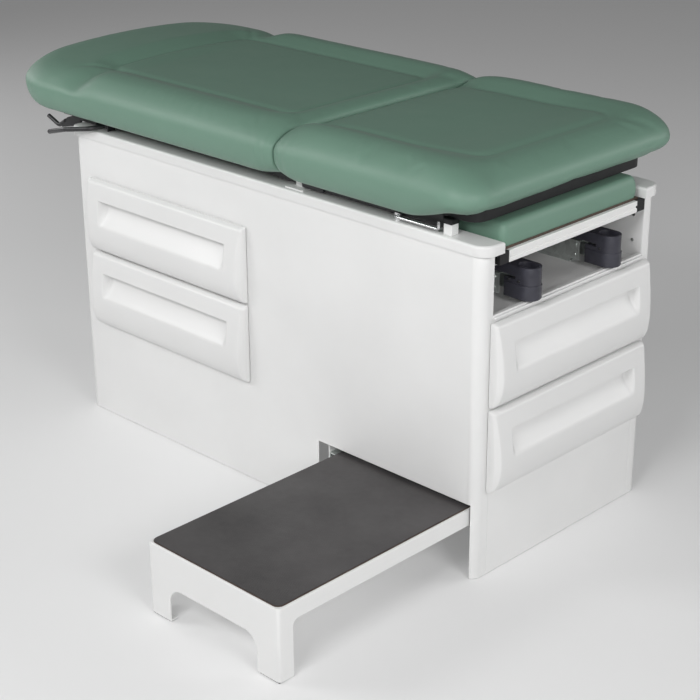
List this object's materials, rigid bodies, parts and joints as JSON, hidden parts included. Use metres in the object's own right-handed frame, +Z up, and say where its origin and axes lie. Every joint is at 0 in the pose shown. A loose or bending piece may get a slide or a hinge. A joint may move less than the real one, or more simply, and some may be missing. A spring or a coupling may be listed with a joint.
{
  "type": "examination couch",
  "caption": "Padded examination couch on a steel drawer cabinet, with a folding back, pull-out step, leg rest and heel stirrups.",
  "frame": {"origin": "on the floor, under the middle of the cabinet", "axes": "+X towards the foot end, -Y towards the side with the step, +Z up"},
  "size_m": [1.4546, 1.13, 0.85],
  "materials": {
    "white_steel": "satin",
    "white_moulding": "gloss",
    "green_vinyl": "satin",
    "galvanised": "satin",
    "charcoal_plastic": "satin",
    "black_plastic": "satin",
    "mat_rubber": "matte",
    "bumper_rubber": "matte",
    "plywood": "matte",
    "rail_aluminium": "satin",
    "black_steel": "satin",
    "bright_steel": "polished"
  },
  "bodies": {
    "cabinet": {"base_frame": "black_steel", "near_side_panel": "white_steel", "far_side_panel": "white_steel", "foot_end_panel": "white_steel", "head_end_panel": "white_steel", "near_trim": "white_moulding", "far_trim": "white_moulding", "inner_walls": "white_steel", "compartment_shelf": "white_steel", "bay_partition": "white_steel", "drawer_bay_wall": "white_steel", "step_bay_wall": "white_steel", "side_drawer_rails": "galvanised", "foot_drawer_rails": "galvanised", "step_rails": "galvanised", "stirrup_tracks": "galvanised", "leg_rest_guides": "galvanised", "seat_posts": "white_steel", "seat_post_caps": "black_plastic", "back_bumpers": "bumper_rubber", "hinge_brackets": "white_steel", "hinge_pins": "bright_steel", "prop_rod_brackets": "bright_steel", "strut_bracket": "black_steel", "strut_cylinder": "black_steel", "cabinet_screws": "bright_steel"},
    "back": {"back_board": "plywood", "back_frame": "black_steel", "back_pad": "green_vinyl", "back_fold_roll": "green_vinyl", "paper_hooks": "black_steel", "lift_bracket": "black_steel"},
    "release_handle": {"release_handle": "black_steel"},
    "seat": {"seat_board": "plywood", "seat_frame": "black_steel", "seat_pad": "green_vinyl"},
    "near_prop": {"near_prop_rod": "bright_steel"},
    "far_prop": {"far_prop_rod": "bright_steel"},
    "strut_rod": {"strut_rod": "bright_steel"},
    "leg_rest": {"leg_rest_rail": "rail_aluminium", "leg_rest_caps": "black_plastic", "leg_rest_board": "plywood", "leg_rest_pad": "green_vinyl", "leg_rest_runners": "galvanised"},
    "step": {"step_shell": "white_steel", "step_mat": "mat_rubber", "step_feet": "black_plastic"},
    "near_stirrup": {"near_stirrup_arm": "galvanised"},
    "far_stirrup": {"far_stirrup_arm": "galvanised"},
    "near_heel_cup": {"near_heel_cup": "charcoal_plastic"},
    "far_heel_cup": {"far_heel_cup": "charcoal_plastic"},
    "upper_side_drawer": {"upper_side_drawer_front": "white_moulding", "upper_side_drawer_box": "white_steel"},
    "lower_side_drawer": {"lower_side_drawer_front": "white_moulding", "lower_side_drawer_box": "white_steel"},
    "upper_foot_drawer": {"upper_foot_drawer_front": "white_moulding", "upper_foot_drawer_box": "white_steel"},
    "lower_foot_drawer": {"lower_foot_drawer_front": "white_moulding", "lower_foot_drawer_box": "white_steel"}
  },
  "joints": [
    {"name": "back_tilt", "type": "hinge", "parent": "cabinet", "child": "back", "pos_m": [0.112, 0, 0.8], "axis": [0, 1, 0], "range_deg": [0, 80], "deforming": ["back_fold_roll"]},
    {"name": "seat_tilt", "type": "hinge", "parent": "cabinet", "child": "seat", "pos_m": [0.112, 0, 0.8], "axis": [0, -1, 0], "range_deg": [0, 7]},
    {"name": "near_prop_swing", "type": "hinge", "parent": "cabinet", "child": "near_prop", "pos_m": [0.392, -0.265, 0.714], "axis": [0, -1, 0], "range_deg": [0, 21.1]},
    {"name": "far_prop_swing", "type": "hinge", "parent": "cabinet", "child": "far_prop", "pos_m": [0.392, 0.265, 0.714], "axis": [0, -1, 0], "range_deg": [0, 21.1]},
    {"name": "strut_extend", "type": "slide", "parent": "cabinet", "child": "strut_rod", "axis": [0, 0, 1], "range_m": [0, 0.1805]},
    {"name": "handle_pull", "type": "hinge", "parent": "back", "child": "release_handle", "pos_m": [-0.517, -0.256, 0.717], "axis": [-1, 0, 0], "range_deg": [0, 10], "stiffness_Nm_per_rad": 1.5},
    {"name": "leg_rest_slide", "type": "slide", "parent": "cabinet", "child": "leg_rest", "axis": [1, 0, 0], "range_m": [0, 0.4]},
    {"name": "step_stow", "type": "slide", "parent": "cabinet", "child": "step", "axis": [0, 1, 0], "range_m": [0, 0.508]},
    {"name": "upper_side_drawer_slide", "type": "slide", "parent": "cabinet", "child": "upper_side_drawer", "axis": [0, -1, 0], "range_m": [0, 0.34]},
    {"name": "lower_side_drawer_slide", "type": "slide", "parent": "cabinet", "child": "lower_side_drawer", "axis": [0, -1, 0], "range_m": [0, 0.34]},
    {"name": "upper_foot_drawer_slide", "type": "slide", "parent": "cabinet", "child": "upper_foot_drawer", "axis": [1, 0, 0], "range_m": [0, 0.4]},
    {"name": "lower_foot_drawer_slide", "type": "slide", "parent": "cabinet", "child": "lower_foot_drawer", "axis": [1, 0, 0], "range_m": [0, 0.4]},
    {"name": "near_stirrup_slide", "type": "slide", "parent": "cabinet", "child": "near_stirrup", "axis": [1, 0, 0], "range_m": [0, 0.3]},
    {"name": "far_stirrup_slide", "type": "slide", "parent": "cabinet", "child": "far_stirrup", "axis": [1, 0, 0], "range_m": [0, 0.3]},
    {"name": "near_heel_cup_swivel", "type": "hinge", "parent": "near_stirrup", "child": "near_heel_cup", "pos_m": [0.575, -0.128, 0.6], "axis": [0, 0, 1], "range_deg": [0, 90]},
    {"name": "far_heel_cup_swivel", "type": "hinge", "parent": "far_stirrup", "child": "far_heel_cup", "pos_m": [0.575, 0.128, 0.6], "axis": [0, 0, -1], "range_deg": [0, 90]}
  ],
  "couplings": [
    {"joint": "near_prop_swing", "follows": "seat_tilt", "ratio": 3},
    {"joint": "far_prop_swing", "follows": "seat_tilt", "ratio": 3},
    {"joint": "strut_extend", "follows": "back_tilt", "m_per_rad": 0.1289}
  ]
}
